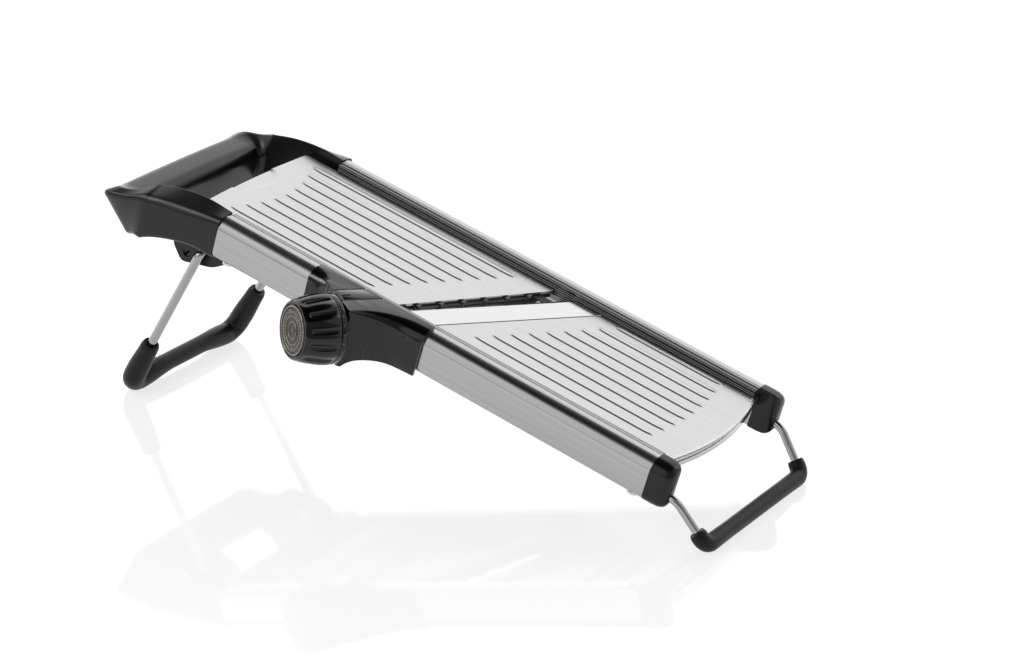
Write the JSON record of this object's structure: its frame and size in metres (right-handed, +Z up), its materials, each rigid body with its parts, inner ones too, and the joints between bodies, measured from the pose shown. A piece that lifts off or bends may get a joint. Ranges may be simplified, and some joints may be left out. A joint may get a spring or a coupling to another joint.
{
  "type": "mandoline slicer",
  "caption": "Free-standing mandoline slicer with a ribbed steel deck between two rails, a diagonal blade, a side thickness knob, a looped handle, a folding wire stand and a wire foot.",
  "frame": {"origin": "middle of the object's box in X and Y, on the surface it stands on", "axes": "+X along the deck towards the lower, discharge end; +Y across the deck, away from the thickness knob; +Z up"},
  "size_m": [0.4022, 0.1786, 0.1374],
  "materials": {
    "rail_steel": "brushed stainless steel with fine lengthways grain",
    "plate_steel": "bright fine-brushed stainless sheet",
    "blade_steel": "polished stainless blade steel",
    "chrome_wire": "bright chrome plate",
    "screw_steel": "plain stainless",
    "rubber_sleeve": "matte black rubber",
    "gloss_black": "glossy black plastic",
    "satin_black": "satin black plastic",
    "knob_metal": "dark turned metal with fine rings"
  },
  "bodies": {
    "deck": {"near_rail": "rail_steel", "far_rail": "rail_steel", "near_guide": "satin_black", "far_guide": "satin_black", "upper_tie": "rail_steel", "lower_tie": "rail_steel", "front_tie": "rail_steel", "handle": "satin_black", "handle_screw_near": "screw_steel", "handle_screw_far": "screw_steel", "near_end_cap": "satin_black", "far_end_cap": "satin_black", "cap_screw_near": "screw_steel", "cap_screw_far": "screw_steel", "front_foot_wire": "chrome_wire", "front_foot_sleeve": "rubber_sleeve", "stand_lug_near": "satin_black", "stand_lug_far": "satin_black", "lug_screw_near": "screw_steel", "lug_screw_far": "screw_steel", "plate_hinge_rod": "chrome_wire", "discharge_plate": "plate_steel", "main_blade": "blade_steel", "blade_bed": "rail_steel", "blade_screw_near": "screw_steel", "blade_screw_far": "screw_steel", "adjuster_housing": "gloss_black", "index_strip": "gloss_black", "scale_ring": "satin_black", "shaft_bush": "satin_black", "far_bearing": "satin_black"},
    "rear_stand": {"rear_stand_wire": "chrome_wire", "rear_stand_sleeve": "rubber_sleeve"},
    "knob": {"thickness_knob": "gloss_black", "knob_face": "knob_metal", "knob_screw": "screw_steel", "adjuster_shaft": "chrome_wire", "lift_cam_near": "satin_black", "lift_cam_far": "satin_black"},
    "run_plate": {"run_plate": "plate_steel", "run_plate_carrier": "satin_black", "plate_hinge_near": "satin_black", "plate_hinge_far": "satin_black", "julienne_bar": "satin_black", "julienne_comb": "blade_steel"}
  },
  "joints": [
    {"name": "rear_stand_fold", "type": "hinge", "parent": "deck", "child": "rear_stand", "pos_m": [-0.13574, 0.02166, 0.10136], "axis": [0, -1, 0], "range_deg": [0, 105]},
    {"name": "knob_turn", "type": "hinge", "parent": "deck", "child": "knob", "pos_m": [-0.03905, -0.08124, 0.09043], "axis": [0.4818, 0.866, -0.1336], "range_deg": [0, 180]},
    {"name": "run_plate_tilt", "type": "hinge", "parent": "deck", "child": "run_plate", "pos_m": [-0.12769, 0.02166, 0.12404], "axis": [0, 1, 0], "range_deg": [0, 1.8]}
  ],
  "couplings": [
    {"joint": "run_plate_tilt", "follows": "knob_turn", "ratio": 0.01}
  ]
}
